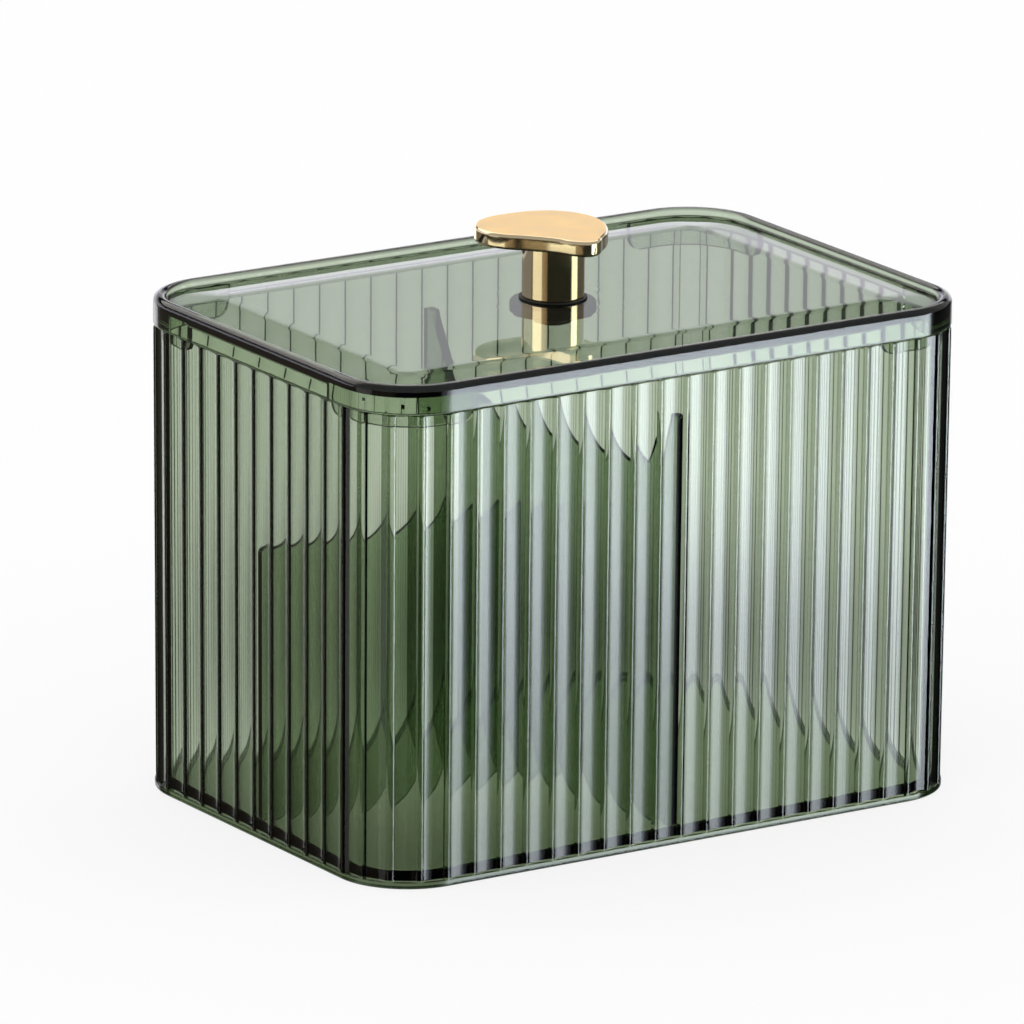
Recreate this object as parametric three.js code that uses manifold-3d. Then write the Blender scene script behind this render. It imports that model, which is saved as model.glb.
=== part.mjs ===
// A storage box in clear smoke-green plastic: fluted walls, two upright dividers that make three
// compartments, and a lid that lifts off by a gold pebble knob.
// Millimetres, +Z up. The origin is the middle of the base, on the surface that the box stands on,
// with the long sides along X.

import * as THREE from 'three';
import { mergeVertices } from 'three/addons/utils/BufferGeometryUtils.js';
import Module from 'manifold-3d';

const wasm = await Module();
wasm.setup();

// Box shell, measured over the flute ridges at the base
const boxLength = 145.4;
const boxDepth = 100;
const shellHeight = 99.7;
const cornerRadius = 16;
const wallThickness = 2.3;
const wallLean = 0.5; // how far each wall stands further out at the top than at the base
const fluteDepth = 0.45;
const fluteRunIn = 0.6; // the height over which the flutes deepen, above the plain plinth
const plinthHeight = 1.1;
const floorThickness = 2;
const footHeight = 1.1; // the floor's underside stands this far off the table
const footWidth = 3.6;
const baseEdgeRound = 0.6;
const shellTopEdge = 0.3; // small chamfer under the lid's joint line

// Flutes on each side, and round each corner
const longSideFlutes = 18;
const shortSideFlutes = 10;
const cornerFlutes = 4;

// Dividers
const dividerThickness = 2.1;
const dividerGap = 0.3; // between a divider's end and what it meets
const hornBelowTop = 8.9; // from the shell's top edge down to the tall divider's two horns
const hornHeight = 12.5; // above the straight edge between them
const hornTipWidth = 2.9;
const hornFootWidth = 9;
const hornTipRound = 1.3;
const halfDividerBelowTop = 38.2;
const halfDividerCornerRound = 1;

// Lid
const skirtHeight = 3.5;
const rimThickness = 2.6;
const rimWidth = 2.7;
const rimRound = 1.1;
const panelThickness = 1.8;
const panelFillet = 0.6;
const skirtEdge = 0.3;
const skirtLedge = 0.3; // the skirt reaches in past the tabs' outer faces by this much
const tabClearance = 0.35;
const tabThickness = 1.6;
const tabDrop = 3; // below the shell's top edge
const tabStraight = 7; // how far a tab runs on past its corner, along each side
const tabEndRound = 3;

// Knob
const capReach = 16.4; // from the stem's axis to the furthest point of the cap
const capThickness = 3.3;
const capEdgeRound = 0.7;
const stemRadius = 6.5;
const stemHeight = 11.3;
const stemEdge = 0.35;
const spigotRadius = 3.6;
const spigotHeight = 1.5;
const gasketRadius = 7.1;
const gasketThickness = 0.4;
const washerRadius = 9;
const washerThickness = 2.6;
const washerEdge = 0.5;
const screwRadius = 2;
const screwReach = 8; // how far the screw goes up into the stem
const screwHeadRadius = 4.2;
const screwHeadHeight = 2.2;
const screwHeadEdge = 0.8;
const crossLength = 4.6;
const crossWidth = 0.9;
const crossDepth = 1.2;
const holeClearance = 0.3;
const boreEndClearance = 0.6;

// How finely round shapes are cut
const fluteSteps = 4;
const baseSteps = 2;
const cornerSteps = 8;
const edgeSteps = 3;
const hornSteps = 4;
const tabArcSteps = 8;
const tabEndSteps = 4;
const roundSteps = 40;
const pebbleSteps = 56;

// One overrun serves all cuts
const overrun = 1;

// The cap's outline seen from above, as shares of its reach: a soft triangle with one side drawn in
const pebbleShares = [
  [0, -0.91], [0.24, -0.74], [0.53, -0.42], [0.69, -0.08], [0.73, 0.23], [0.6, 0.59], [0.33, 0.82], [-0.1, 0.9],
  [-0.49, 0.86], [-0.78, 0.64], [-0.87, 0.35], [-0.78, 0.06], [-0.51, -0.24], [-0.27, -0.56], [-0.13, -0.83],
];

// Places worked out from the sizes
const halfRunX = boxLength / 2 - cornerRadius;
const halfRunY = boxDepth / 2 - cornerRadius;
const floorTop = footHeight + floorThickness;
const hornTop = shellHeight - hornBelowTop;
const skirtThickness = wallThickness + tabClearance + skirtLedge;
const panelUnderside = shellHeight + skirtHeight;
const panelTop = panelUnderside + panelThickness;
const lidTop = panelUnderside + rimThickness;
const holeRadius = screwRadius + holeClearance;

// Lean of the walls at a height: 0 at the base, all of wallLean at the shell's top edge
function leanAt(z) {
  return wallLean * z / shellHeight;
}

// A geometry as a solid that can be cut and joined
function solidFrom(geometry) {
  const bare = geometry.clone();
  bare.deleteAttribute('normal');
  bare.deleteAttribute('uv');
  const merged = mergeVertices(bare);
  const vertProperties = new Float32Array(merged.attributes.position.array);
  const triVerts = new Uint32Array(merged.index.array);
  return new wasm.Manifold(new wasm.Mesh({ numProp: 3, vertProperties, triVerts }));
}

// A cut or joined solid as a flat-shaded geometry
function geometryFrom(solid) {
  const mesh = solid.getMesh();
  const geometry = new THREE.BufferGeometry();
  geometry.setAttribute('position', new THREE.BufferAttribute(mesh.vertProperties, mesh.numProp));
  geometry.setIndex(new THREE.BufferAttribute(mesh.triVerts, 1));
  const flat = geometry.toNonIndexed();
  flat.computeVertexNormals();
  return flat;
}

// A closed body through rings of equally many points, from the lowest ring up
function loft(rings) {
  const count = rings[0].outline.length;
  const positions = rings.flatMap(({ outline, z }) => outline.flatMap(point => [point.x, point.y, z]));
  const last = (rings.length - 1) * count;
  const index = [];
  for (let ring = 0; ring + 1 < rings.length; ring++) {
    for (let step = 0; step < count; step++) {
      const next = (step + 1) % count;
      const low = ring * count;
      const high = low + count;
      index.push(low + step, low + next, high + next);
      index.push(low + step, high + next, high + step);
    }
  }
  for (const [a, b, c] of THREE.ShapeUtils.triangulateShape(rings[0].outline, [])) {
    index.push(a, c, b);
  }
  for (const [a, b, c] of THREE.ShapeUtils.triangulateShape(rings.at(-1).outline, [])) {
    index.push(last + a, last + b, last + c);
  }
  const geometry = new THREE.BufferGeometry();
  geometry.setAttribute('position', new THREE.Float32BufferAttribute(positions, 3));
  geometry.setIndex(index);
  return geometry;
}

// The middles of the four corner arcs, each with the angle at which its arc starts, anticlockwise
function cornerPlaces() {
  return [[1, -1], [1, 1], [-1, 1], [-1, -1]].map(([sideX, sideY], quarter) => ({
    centre: new THREE.Vector2(sideX * halfRunX, sideY * halfRunY),
    start: (quarter - 1) * Math.PI / 2,
  }));
}

function pointOnArc(centre, radius, angle) {
  return new THREE.Vector2(Math.cos(angle), Math.sin(angle)).multiplyScalar(radius).add(centre);
}

// The box's outline without flutes, moved out by grow
function smoothOutline(grow) {
  return cornerPlaces().flatMap(({ centre, start }) =>
    Array.from({ length: cornerSteps + 1 }, (_, step) =>
      pointOnArc(centre, cornerRadius + grow, start + step / cornerSteps * Math.PI / 2)));
}

// Hollow flutes between two ridges, without the second ridge's own point
function fluteBetween(from, to, depth) {
  const inward = new THREE.Vector2(from.y - to.y, to.x - from.x).normalize();
  return Array.from({ length: fluteSteps }, (_, step) => {
    const along = step / fluteSteps;
    const dip = 4 * along * (1 - along) * depth;
    return from.clone().lerp(to, along).addScaledVector(inward, dip);
  });
}

// The box's outline, moved out by grow: each corner, then the side that follows it.
// share goes from 0, where it is plain, to 1, where the flutes have their full depth.
function flutedOutline(grow, share) {
  const radius = cornerRadius + grow;
  const turn = Math.PI / 2 / cornerFlutes;
  const bulge = radius * (1 - Math.cos(turn / 2));
  const sideDepth = share * fluteDepth;
  const cornerDepth = THREE.MathUtils.lerp(-bulge, fluteDepth, share);
  const places = cornerPlaces();
  return places.flatMap(({ centre, start }, quarter) => {
    const ridges = Array.from({ length: cornerFlutes + 1 }, (_, ridge) =>
      pointOnArc(centre, radius, start + ridge * turn));
    const sideFlutes = quarter % 2 === 0 ? shortSideFlutes : longSideFlutes;
    const following = places[(quarter + 1) % places.length];
    const sideEnd = pointOnArc(following.centre, radius, following.start);
    const points = [];
    for (let ridge = 0; ridge < cornerFlutes; ridge++) {
      points.push(...fluteBetween(ridges[ridge], ridges[ridge + 1], cornerDepth));
    }
    for (let flute = 0; flute < sideFlutes; flute++) {
      const from = ridges.at(-1).clone().lerp(sideEnd, flute / sideFlutes);
      const to = ridges.at(-1).clone().lerp(sideEnd, (flute + 1) / sideFlutes);
      points.push(...fluteBetween(from, to, sideDepth));
    }
    return points;
  });
}

// Steps round a quarter of an edge: how far each still lies inside, and how far up it has come
function quarterSteps(radius, steps) {
  return Array.from({ length: steps + 1 }, (_, step) => {
    const angle = step / steps * Math.PI / 2;
    return { inside: radius * (1 - Math.sin(angle)), up: radius * (1 - Math.cos(angle)) };
  });
}

// Fluted walls on a plain plinth, floor and foot rim
function boxShell() {
  const base = quarterSteps(baseEdgeRound, baseSteps).map(({ inside, up }) => ({
    outline: flutedOutline(leanAt(up) - inside, 0),
    z: up,
  }));
  const fluteFoot = plinthHeight + fluteRunIn;
  const underTopEdge = shellHeight - shellTopEdge;
  const outside = loft([
    ...base,
    { outline: flutedOutline(leanAt(plinthHeight), 0), z: plinthHeight },
    { outline: flutedOutline(leanAt(fluteFoot), 1), z: fluteFoot },
    { outline: flutedOutline(leanAt(underTopEdge), 1), z: underTopEdge },
    { outline: flutedOutline(wallLean - shellTopEdge, 1), z: shellHeight },
  ]);
  const mouth = shellHeight + overrun;
  const inside = loft([
    { outline: smoothOutline(leanAt(floorTop) - wallThickness), z: floorTop },
    { outline: smoothOutline(leanAt(mouth) - wallThickness), z: mouth },
  ]);
  const underFloor = loft([
    { outline: smoothOutline(-footWidth), z: -overrun },
    { outline: smoothOutline(-footWidth), z: footHeight },
  ]);
  return geometryFrom(solidFrom(outside).subtract(solidFrom(inside)).subtract(solidFrom(underFloor)));
}

// How far a divider's end stands from the box's middle at a height, along X or Y
function innerReach(halfRun, z) {
  return halfRun + cornerRadius + leanAt(z) - wallThickness - dividerGap;
}

// One end of the tall divider's outline, from its foot up over the horn: side is -1 at the front, 1 at the back
function hornPoints(side) {
  const foot = new THREE.Vector2(side * innerReach(halfRunY, floorTop), floorTop);
  const wall = innerReach(halfRunY, hornTop);
  const curve = new THREE.Path();
  curve.moveTo(side * innerReach(halfRunY, hornTop - hornTipRound), hornTop - hornTipRound);
  curve.quadraticCurveTo(side * wall, hornTop, side * (wall - hornTipRound), hornTop);
  curve.lineTo(side * (wall - hornTipWidth + hornTipRound), hornTop);
  curve.quadraticCurveTo(
    side * (wall - hornTipWidth), hornTop,
    side * (wall - (hornTipWidth + hornFootWidth) / 2), hornTop - hornHeight / 2,
  );
  curve.quadraticCurveTo(
    side * (wall - hornFootWidth), hornTop - hornHeight,
    side * (wall - hornFootWidth - hornTipWidth), hornTop - hornHeight,
  );
  return [foot, ...curve.getPoints(hornSteps)];
}

// The tall divider: the horned plate across the box's middle
function crossDivider() {
  const outline = new THREE.Shape([...hornPoints(-1), ...hornPoints(1).reverse()]);
  const plate = new THREE.ExtrudeGeometry(outline, {
    depth: dividerThickness,
    bevelEnabled: false,
  });
  const axes = new THREE.Matrix4().makeBasis(
    new THREE.Vector3(0, 1, 0),
    new THREE.Vector3(0, 0, 1),
    new THREE.Vector3(1, 0, 0),
  );
  return plate.applyMatrix4(axes).translate(-dividerThickness / 2, 0, 0);
}

// The half divider: the lower plate from the left wall to the tall divider
function halfDivider() {
  const top = shellHeight - halfDividerBelowTop;
  const right = -dividerThickness / 2 - dividerGap;
  const round = halfDividerCornerRound;
  const wallTop = -innerReach(halfRunX, top);
  const outline = new THREE.Shape();
  outline.moveTo(-innerReach(halfRunX, floorTop), floorTop);
  outline.lineTo(right, floorTop);
  outline.lineTo(right, top);
  outline.lineTo(wallTop + round, top);
  outline.quadraticCurveTo(wallTop, top, -innerReach(halfRunX, top - round), top - round);
  outline.closePath();
  const plate = new THREE.ExtrudeGeometry(outline, {
    depth: dividerThickness,
    bevelEnabled: false,
    curveSegments: edgeSteps,
  });
  return plate.rotateX(Math.PI / 2).translate(0, dividerThickness / 2, 0);
}

// Points along a tab's outer face, each with its outward direction, round a corner at the origin
function tabStations(radius) {
  const straight = share => share * tabStraight;
  const rounding = Array.from({ length: tabEndSteps }, (_, step) =>
    tabEndRound * (1 - Math.cos(step / tabEndSteps * Math.PI / 2)));
  const run = [...rounding.map(along => along - tabStraight), straight(-1) + tabEndRound];
  const first = run.map(along => ({ point: new THREE.Vector2(radius, along), angle: 0 }));
  const arc = Array.from({ length: tabArcSteps + 1 }, (_, step) => {
    const angle = step / tabArcSteps * Math.PI / 2;
    return { point: pointOnArc(new THREE.Vector2(), radius, angle), angle };
  });
  const second = run.toReversed().map(along => ({ point: new THREE.Vector2(along, radius), angle: Math.PI / 2 }));
  return [...first, ...arc, ...second];
}

// How far a tab's lower edge has risen at a distance from the tab's end
function tabEndRise(fromEnd) {
  const within = Math.max(0, tabEndRound - fromEnd);
  return tabEndRound - Math.sqrt(tabEndRound ** 2 - within ** 2);
}

// One locating tab, round a corner at the origin, from its rounded lower edge up into the lid's panel
function cornerTab() {
  const reach = leanAt(shellHeight - tabDrop) - wallThickness - tabClearance;
  const stations = tabStations(cornerRadius + reach);
  const top = panelUnderside + panelThickness / 2;
  const positions = [];
  for (const { point, angle } of stations) {
    const straightLeft = tabStraight + Math.min(point.x, point.y);
    const low = shellHeight - tabDrop + tabEndRise(straightLeft);
    const inner = pointOnArc(point, -tabThickness, angle);
    positions.push(point.x, point.y, low, point.x, point.y, top);
    positions.push(inner.x, inner.y, top, inner.x, inner.y, low);
  }
  const index = [0, 1, 2, 0, 2, 3];
  const last = (stations.length - 1) * 4;
  index.push(last, last + 2, last + 1, last, last + 3, last + 2);
  for (let station = 0; station < last; station += 4) {
    for (let side = 0; side < 4; side++) {
      const next = (side + 1) % 4;
      index.push(station + side, station + 4 + side, station + 4 + next);
      index.push(station + side, station + 4 + next, station + next);
    }
  }
  const geometry = new THREE.BufferGeometry();
  geometry.setAttribute('position', new THREE.Float32BufferAttribute(positions, 3));
  geometry.setIndex(index);
  return geometry;
}

// Panel, rim, skirt and the four tabs
function lidMoulding() {
  const rimTurn = quarterSteps(rimRound, edgeSteps).toReversed();
  const outside = loft([
    { outline: smoothOutline(wallLean - skirtEdge), z: shellHeight },
    { outline: smoothOutline(wallLean), z: shellHeight + skirtEdge },
    ...rimTurn.map(({ inside, up }) => ({ outline: smoothOutline(wallLean - inside), z: lidTop - up })),
  ]);
  const under = smoothOutline(wallLean - skirtThickness);
  const hollow = loft([
    { outline: under, z: shellHeight - overrun },
    { outline: under, z: panelUnderside },
  ]);
  const recess = loft([
    ...quarterSteps(panelFillet, edgeSteps).map(({ inside, up }) => ({
      outline: smoothOutline(wallLean - rimWidth - inside),
      z: panelTop + up,
    })),
    { outline: smoothOutline(wallLean - rimWidth), z: lidTop + overrun },
  ]);
  const hole = new THREE.CylinderGeometry(holeRadius, holeRadius, panelThickness + 2 * overrun, roundSteps);
  hole.rotateX(Math.PI / 2).translate(0, 0, panelUnderside + panelThickness / 2);
  let lid = solidFrom(outside).subtract(solidFrom(hollow)).subtract(solidFrom(recess));
  for (const { centre, start } of cornerPlaces()) {
    lid = lid.add(solidFrom(cornerTab().rotateZ(start).translate(centre.x, centre.y, 0)));
  }
  return geometryFrom(lid.subtract(solidFrom(hole)));
}

// A turned piece from a closed profile of [radius, height] pairs, standing on +Z
function turned(profile) {
  const points = profile.map(([radius, height]) => new THREE.Vector2(radius, height));
  return new THREE.LatheGeometry(points, roundSteps).rotateX(Math.PI / 2);
}

// The flat pebble on top, with a socket under it for the stem's spigot
function knobCap() {
  const points = pebbleShares.map(([x, y]) => new THREE.Vector3(x, y, 0).multiplyScalar(capReach - capEdgeRound));
  const curve = new THREE.CatmullRomCurve3(points, true, 'centripetal');
  const outline = curve.getSpacedPoints(pebbleSteps).slice(0, -1).map(({ x, y }) => new THREE.Vector2(x, y));
  const pebble = new THREE.ExtrudeGeometry(new THREE.Shape(outline), {
    depth: capThickness - 2 * capEdgeRound,
    bevelThickness: capEdgeRound,
    bevelSize: capEdgeRound,
    bevelSegments: edgeSteps,
  });
  const socketRadius = spigotRadius + holeClearance;
  const socketDepth = spigotHeight + holeClearance;
  const socket = new THREE.CylinderGeometry(socketRadius, socketRadius, socketDepth + overrun, roundSteps);
  socket.rotateX(Math.PI / 2).translate(0, 0, (socketDepth - overrun) / 2);
  return geometryFrom(solidFrom(pebble.translate(0, 0, capEdgeRound)).subtract(solidFrom(socket)));
}

// The round stem: a spigot on top, and a blind bore for the screw up its middle
function knobStem() {
  const boreTop = screwReach + boreEndClearance;
  return turned([
    [0, boreTop],
    [holeRadius, boreTop],
    [holeRadius, 0],
    [stemRadius - stemEdge, 0],
    [stemRadius, stemEdge],
    [stemRadius, stemHeight - stemEdge],
    [stemRadius - stemEdge, stemHeight],
    [spigotRadius, stemHeight],
    [spigotRadius, stemHeight + spigotHeight],
    [0, stemHeight + spigotHeight],
  ]);
}

// A flat ring round the screw, with its outer edges broken by edge
function flatRing(radius, thickness, edge) {
  return turned([
    [holeRadius, 0],
    [radius - edge, 0],
    [radius, edge],
    [radius, thickness - edge],
    [radius - edge, thickness],
    [holeRadius, thickness],
    [holeRadius, 0],
  ]);
}

// The screw: a low round head with a cross cut in it, and a shank that stands up from the head
function knobScrew() {
  const shankTop = screwHeadHeight + washerThickness + panelThickness + gasketThickness + screwReach;
  const body = turned([
    [0, 0],
    [screwHeadRadius - screwHeadEdge, 0],
    [screwHeadRadius, screwHeadEdge],
    [screwHeadRadius, screwHeadHeight],
    [screwRadius, screwHeadHeight],
    [screwRadius, shankTop - stemEdge],
    [screwRadius - stemEdge, shankTop],
    [0, shankTop],
  ]);
  const cutHeight = crossDepth + overrun;
  const cutPlace = (crossDepth - overrun) / 2;
  const along = new THREE.BoxGeometry(crossLength, crossWidth, cutHeight).translate(0, 0, cutPlace);
  const across = new THREE.BoxGeometry(crossWidth, crossLength, cutHeight).translate(0, 0, cutPlace);
  return geometryFrom(solidFrom(body).subtract(solidFrom(along).add(solidFrom(across))));
}

const smokeGreenPlastic = () => new THREE.MeshStandardMaterial({
  color: 0x6f8f6f,
  roughness: 0.08,
  metalness: 0,
  transparent: true,
  opacity: 0.5,
});
const polishedGold = () => new THREE.MeshStandardMaterial({ color: 0xe0b76c, roughness: 0.12, metalness: 1 });
const satinGold = () => new THREE.MeshStandardMaterial({ color: 0xf0cb92, roughness: 0.32, metalness: 1 });
const blackRubber = () => new THREE.MeshStandardMaterial({ color: 0x141414, roughness: 0.6, metalness: 0 });
const darkPlastic = () => new THREE.MeshStandardMaterial({ color: 0x3a3b44, roughness: 0.35, metalness: 0 });
const zincSteel = () => new THREE.MeshStandardMaterial({ color: 0xb9bcc0, roughness: 0.3, metalness: 1 });

const box = new THREE.Group();

function place(name, geometry, material, z) {
  const mesh = new THREE.Mesh(geometry, material);
  mesh.name = name;
  mesh.position.z = z;
  box.add(mesh);
}

const washerUnderside = panelUnderside - washerThickness;
const stemFoot = panelTop + gasketThickness;

place('box_shell', boxShell(), smokeGreenPlastic(), 0);
place('cross_divider', crossDivider(), smokeGreenPlastic(), 0);
place('half_divider', halfDivider(), smokeGreenPlastic(), 0);
place('lid', lidMoulding(), smokeGreenPlastic(), 0);
place('knob_cap', knobCap(), satinGold(), stemFoot + stemHeight);
place('knob_stem', knobStem(), polishedGold(), stemFoot);
place('knob_gasket', flatRing(gasketRadius, gasketThickness, 0), blackRubber(), panelTop);
place('knob_washer', flatRing(washerRadius, washerThickness, washerEdge), darkPlastic(), washerUnderside);
place('knob_screw', knobScrew(), zincSteel(), washerUnderside - screwHeadHeight);

export default box;
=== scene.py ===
# A storage box in clear smoke-green acrylic with a gold pebble knob on its lid.
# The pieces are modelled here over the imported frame, in metres, in the frame's own axes.

import math

import bmesh
import bpy
from mathutils import Matrix, Vector


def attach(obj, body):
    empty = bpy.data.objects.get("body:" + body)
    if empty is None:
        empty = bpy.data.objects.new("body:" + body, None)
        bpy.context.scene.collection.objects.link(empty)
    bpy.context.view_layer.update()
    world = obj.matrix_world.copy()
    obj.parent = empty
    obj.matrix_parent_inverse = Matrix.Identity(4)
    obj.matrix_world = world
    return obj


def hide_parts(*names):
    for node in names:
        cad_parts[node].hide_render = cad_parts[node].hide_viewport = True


mm = 0.001
weldReach = 0.002 * mm

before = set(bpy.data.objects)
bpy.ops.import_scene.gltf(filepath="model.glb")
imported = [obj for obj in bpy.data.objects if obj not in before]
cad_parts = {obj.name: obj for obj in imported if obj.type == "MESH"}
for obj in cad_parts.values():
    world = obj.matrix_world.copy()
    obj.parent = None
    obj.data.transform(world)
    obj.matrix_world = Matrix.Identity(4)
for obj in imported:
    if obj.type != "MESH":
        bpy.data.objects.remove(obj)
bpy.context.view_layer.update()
bpy.ops.object.select_all(action="DESELECT")
print("frame loaded")


# Small helpers for modelling

def turnTo(degrees):
    return math.radians(degrees)


sharpTurn = turnTo(60)  # faces that meet at more than this make an edge to round


def inMm(sizes):
    return tuple(size * mm for size in sizes)


def openMesh():
    bpy.ops.object.mode_set(mode="EDIT")


def closeMesh():
    bpy.ops.object.mode_set(mode="OBJECT")


def fixPlace():
    bpy.ops.object.transform_apply(location=True, rotation=True, scale=True)


def nameActive(name):
    obj = bpy.context.active_object
    obj.name = name
    obj.data.name = name
    return obj


def startBlock(name, low, high):  # corners in mm
    middle = [(a + b) / 2 * mm for a, b in zip(low, high)]
    size = [(b - a) * mm for a, b in zip(low, high)]
    bpy.ops.mesh.primitive_cube_add(size=1, location=middle, scale=size)
    fixPlace()
    return nameActive(name)


def startDrum(name, radius, low, high, sides):
    bpy.ops.mesh.primitive_cylinder_add(
        vertices=sides, radius=radius * mm, depth=(high - low) * mm, location=(0, 0, (low + high) / 2 * mm))
    fixPlace()
    return nameActive(name)


def pick(kind, test):  # selects what passes the test, which gets the middle in mm and the element
    bpy.ops.mesh.select_mode(type=kind)
    bpy.ops.mesh.select_all(action="DESELECT")
    data = bpy.context.edit_object.data
    mesh = bmesh.from_edit_mesh(data)
    mesh.normal_update()
    if kind == "VERT":
        chosen = [v for v in mesh.verts if test(v.co / mm, v)]
    elif kind == "EDGE":
        chosen = [e for e in mesh.edges if test((e.verts[0].co + e.verts[1].co) / 2 / mm, e)]
    else:
        chosen = [f for f in mesh.faces if test(f.calc_center_median() / mm, f)]
    for part in chosen:
        part.select_set(True)
    mesh.select_flush_mode()
    bmesh.update_edit_mesh(data)


def near(a, b, reach=0.01):
    return abs(a - b) < reach


def flatAt(edge, z, reach=0.01):  # a level edge at this height
    return all(near(v.co.z / mm, z, reach) for v in edge.verts)


def upright(edge):
    a, b = edge.verts
    return near(a.co.x / mm, b.co.x / mm) and near(a.co.y / mm, b.co.y / mm)


def sharp(edge):
    return len(edge.link_faces) == 2 and edge.calc_face_angle() > sharpTurn


def slide(x=0, y=0, z=0):
    bpy.ops.transform.translate(value=(x * mm, y * mm, z * mm))


def stretch(x=1, y=1, z=1, about=(0, 0, 0)):
    bpy.ops.transform.resize(value=(x, y, z), center_override=tuple(c * mm for c in about))


def pull(x=0, y=0, z=0):  # extrudes the chosen faces or edges and moves them
    bpy.ops.mesh.extrude_region_move(TRANSFORM_OT_translate={"value": (x * mm, y * mm, z * mm)})


def roundEdges(size, steps):
    bpy.ops.mesh.bevel(offset=size * mm, offset_type="OFFSET", segments=steps, profile=0.5, affect="EDGES",
                       clamp_overlap=True)


def weld():
    bpy.ops.mesh.select_all(action="SELECT")
    bpy.ops.mesh.remove_doubles(threshold=weldReach)
    bpy.ops.mesh.normals_make_consistent(inside=False)


def makeActive(obj):
    bpy.ops.object.select_all(action="DESELECT")
    obj.select_set(True)
    bpy.context.view_layer.objects.active = obj


def applyModifier(obj, kind, **settings):
    makeActive(obj)
    modifier = obj.modifiers.new(kind.lower(), kind)
    for key, value in settings.items():
        setattr(modifier, key, value)
    bpy.ops.object.modifier_apply(modifier=modifier.name)


def joinPieces(name, pieces):
    bpy.ops.object.select_all(action="DESELECT")
    for piece in pieces:
        piece.select_set(True)
    bpy.context.view_layer.objects.active = pieces[0]
    bpy.ops.object.join()
    return nameActive(name)


def cutWith(obj, tool, operation="DIFFERENCE"):
    applyModifier(obj, "BOOLEAN", operation=operation, solver="EXACT", object=tool)
    bpy.data.objects.remove(tool, do_unlink=True)
    makeActive(obj)


def smoothPiece(obj, degrees=25):
    makeActive(obj)
    bpy.ops.object.shade_smooth_by_angle(angle=turnTo(degrees))
    applyModifier(obj, "WEIGHTED_NORMAL", mode="FACE_AREA", weight=50, keep_sharp=True)


# Materials

def srgb(hexColor):
    channels = [int(hexColor[i:i + 2], 16) / 255 for i in (1, 3, 5)]
    return (*(c / 12.92 if c <= 0.04045 else ((c + 0.055) / 1.055) ** 2.4 for c in channels), 1)


def addNode(tree, kind, inputs=None, **settings):
    node = tree.nodes.new(kind)
    for key, value in settings.items():
        setattr(node, key, value)
    for socket, value in (inputs or {}).items():
        if isinstance(value, bpy.types.NodeSocket):
            tree.links.new(value, node.inputs[socket])
        else:
            node.inputs[socket].default_value = value
    return node


def spread(tree, value, span, levels, smooth=False):  # carries a value over a span to the levels
    return addNode(tree, "ShaderNodeMapRange", {
        "Value": value, "From Min": span[0], "From Max": span[1], "To Min": levels[0], "To Max": levels[1]},
        interpolation_type="SMOOTHSTEP" if smooth else "LINEAR").outputs["Result"]


def newMaterial(name):
    material = bpy.data.materials.new(name)
    material.use_nodes = True
    material.node_tree.nodes.clear()
    output = addNode(material.node_tree, "ShaderNodeOutputMaterial")
    return material, material.node_tree, output


# Sizes are in mm, and each pair runs from its first value to its second
acrylicLook = {
    "ior": 1.49, "tint": "#AAC295", "rippleDetail": 0.3,
    "ringPitch": 3.2, "ringReach": (8, 26), "ringHeight": 0.06,
    "hazeSize": 1.6, "hazeDetail": 3, "hazeSpread": (0.35, 0.75), "hazeRoughness": (0, 0.02),
}


def smokeAcrylic(name, density, rippleSize, rippleDepth, rings=False):
    # Density is per metre. The ripple, in mm, is the slow unevenness that a moulded sheet keeps.
    # Acrylic (PMMA), injection moulded in a polished steel tool and dyed smoke-green through its
    # thickness: thin walls look pale, edges and long paths nearly black, with a hard wet gloss.
    material, tree, output = newMaterial(name)
    place = addNode(tree, "ShaderNodeTexCoord").outputs["Object"]
    look = acrylicLook
    ripple = addNode(tree, "ShaderNodeTexNoise", {
        "Vector": place, "Scale": 1 / (rippleSize * mm), "Detail": look["rippleDetail"],
        "Roughness": look["rippleDetail"]})
    height = ripple.outputs["Fac"]
    if rings:
        # The lid's panel was filled from its middle, which leaves faint rings round the hole
        apart = addNode(tree, "ShaderNodeVectorMath", {0: place, 1: (1, 1, 0)}, operation="MULTIPLY")
        reach = addNode(tree, "ShaderNodeVectorMath", {0: apart.outputs[0]}, operation="LENGTH")
        wave = addNode(tree, "ShaderNodeMath", {
            0: reach.outputs["Value"], 1: 2 * math.pi / (look["ringPitch"] * mm)}, operation="MULTIPLY")
        crest = addNode(tree, "ShaderNodeMath", {0: wave.outputs[0]}, operation="SINE")
        fade = spread(tree, reach.outputs["Value"], inMm(look["ringReach"]), (look["ringHeight"], 0), smooth=True)
        ringed = addNode(tree, "ShaderNodeMath", {0: crest.outputs[0], 1: fade}, operation="MULTIPLY")
        height = addNode(tree, "ShaderNodeMath", {0: height, 1: ringed.outputs[0]}, operation="ADD").outputs[0]
    bump = addNode(tree, "ShaderNodeBump", {"Height": height, "Strength": 1, "Distance": rippleDepth * mm})
    haze = addNode(tree, "ShaderNodeTexNoise", {
        "Vector": place, "Scale": 1 / (look["hazeSize"] * mm), "Detail": look["hazeDetail"]})
    polish = spread(tree, haze.outputs["Fac"], look["hazeSpread"], look["hazeRoughness"])
    shader = addNode(tree, "ShaderNodeBsdfPrincipled", {
        "Base Color": (1, 1, 1, 1), "Roughness": polish, "IOR": look["ior"],
        "Transmission Weight": 1, "Normal": bump.outputs["Normal"]})
    dye = addNode(tree, "ShaderNodeVolumeAbsorption", {"Color": srgb(look["tint"]), "Density": density})
    tree.links.new(shader.outputs["BSDF"], output.inputs["Surface"])
    tree.links.new(dye.outputs["Volume"], output.inputs["Volume"])
    return material


metalLook = {"wearSize": 6, "wearSpread": (0.3, 0.7), "wearTone": (0.96, 1.0), "wearPolish": (0.85, 1.15)}


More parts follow.
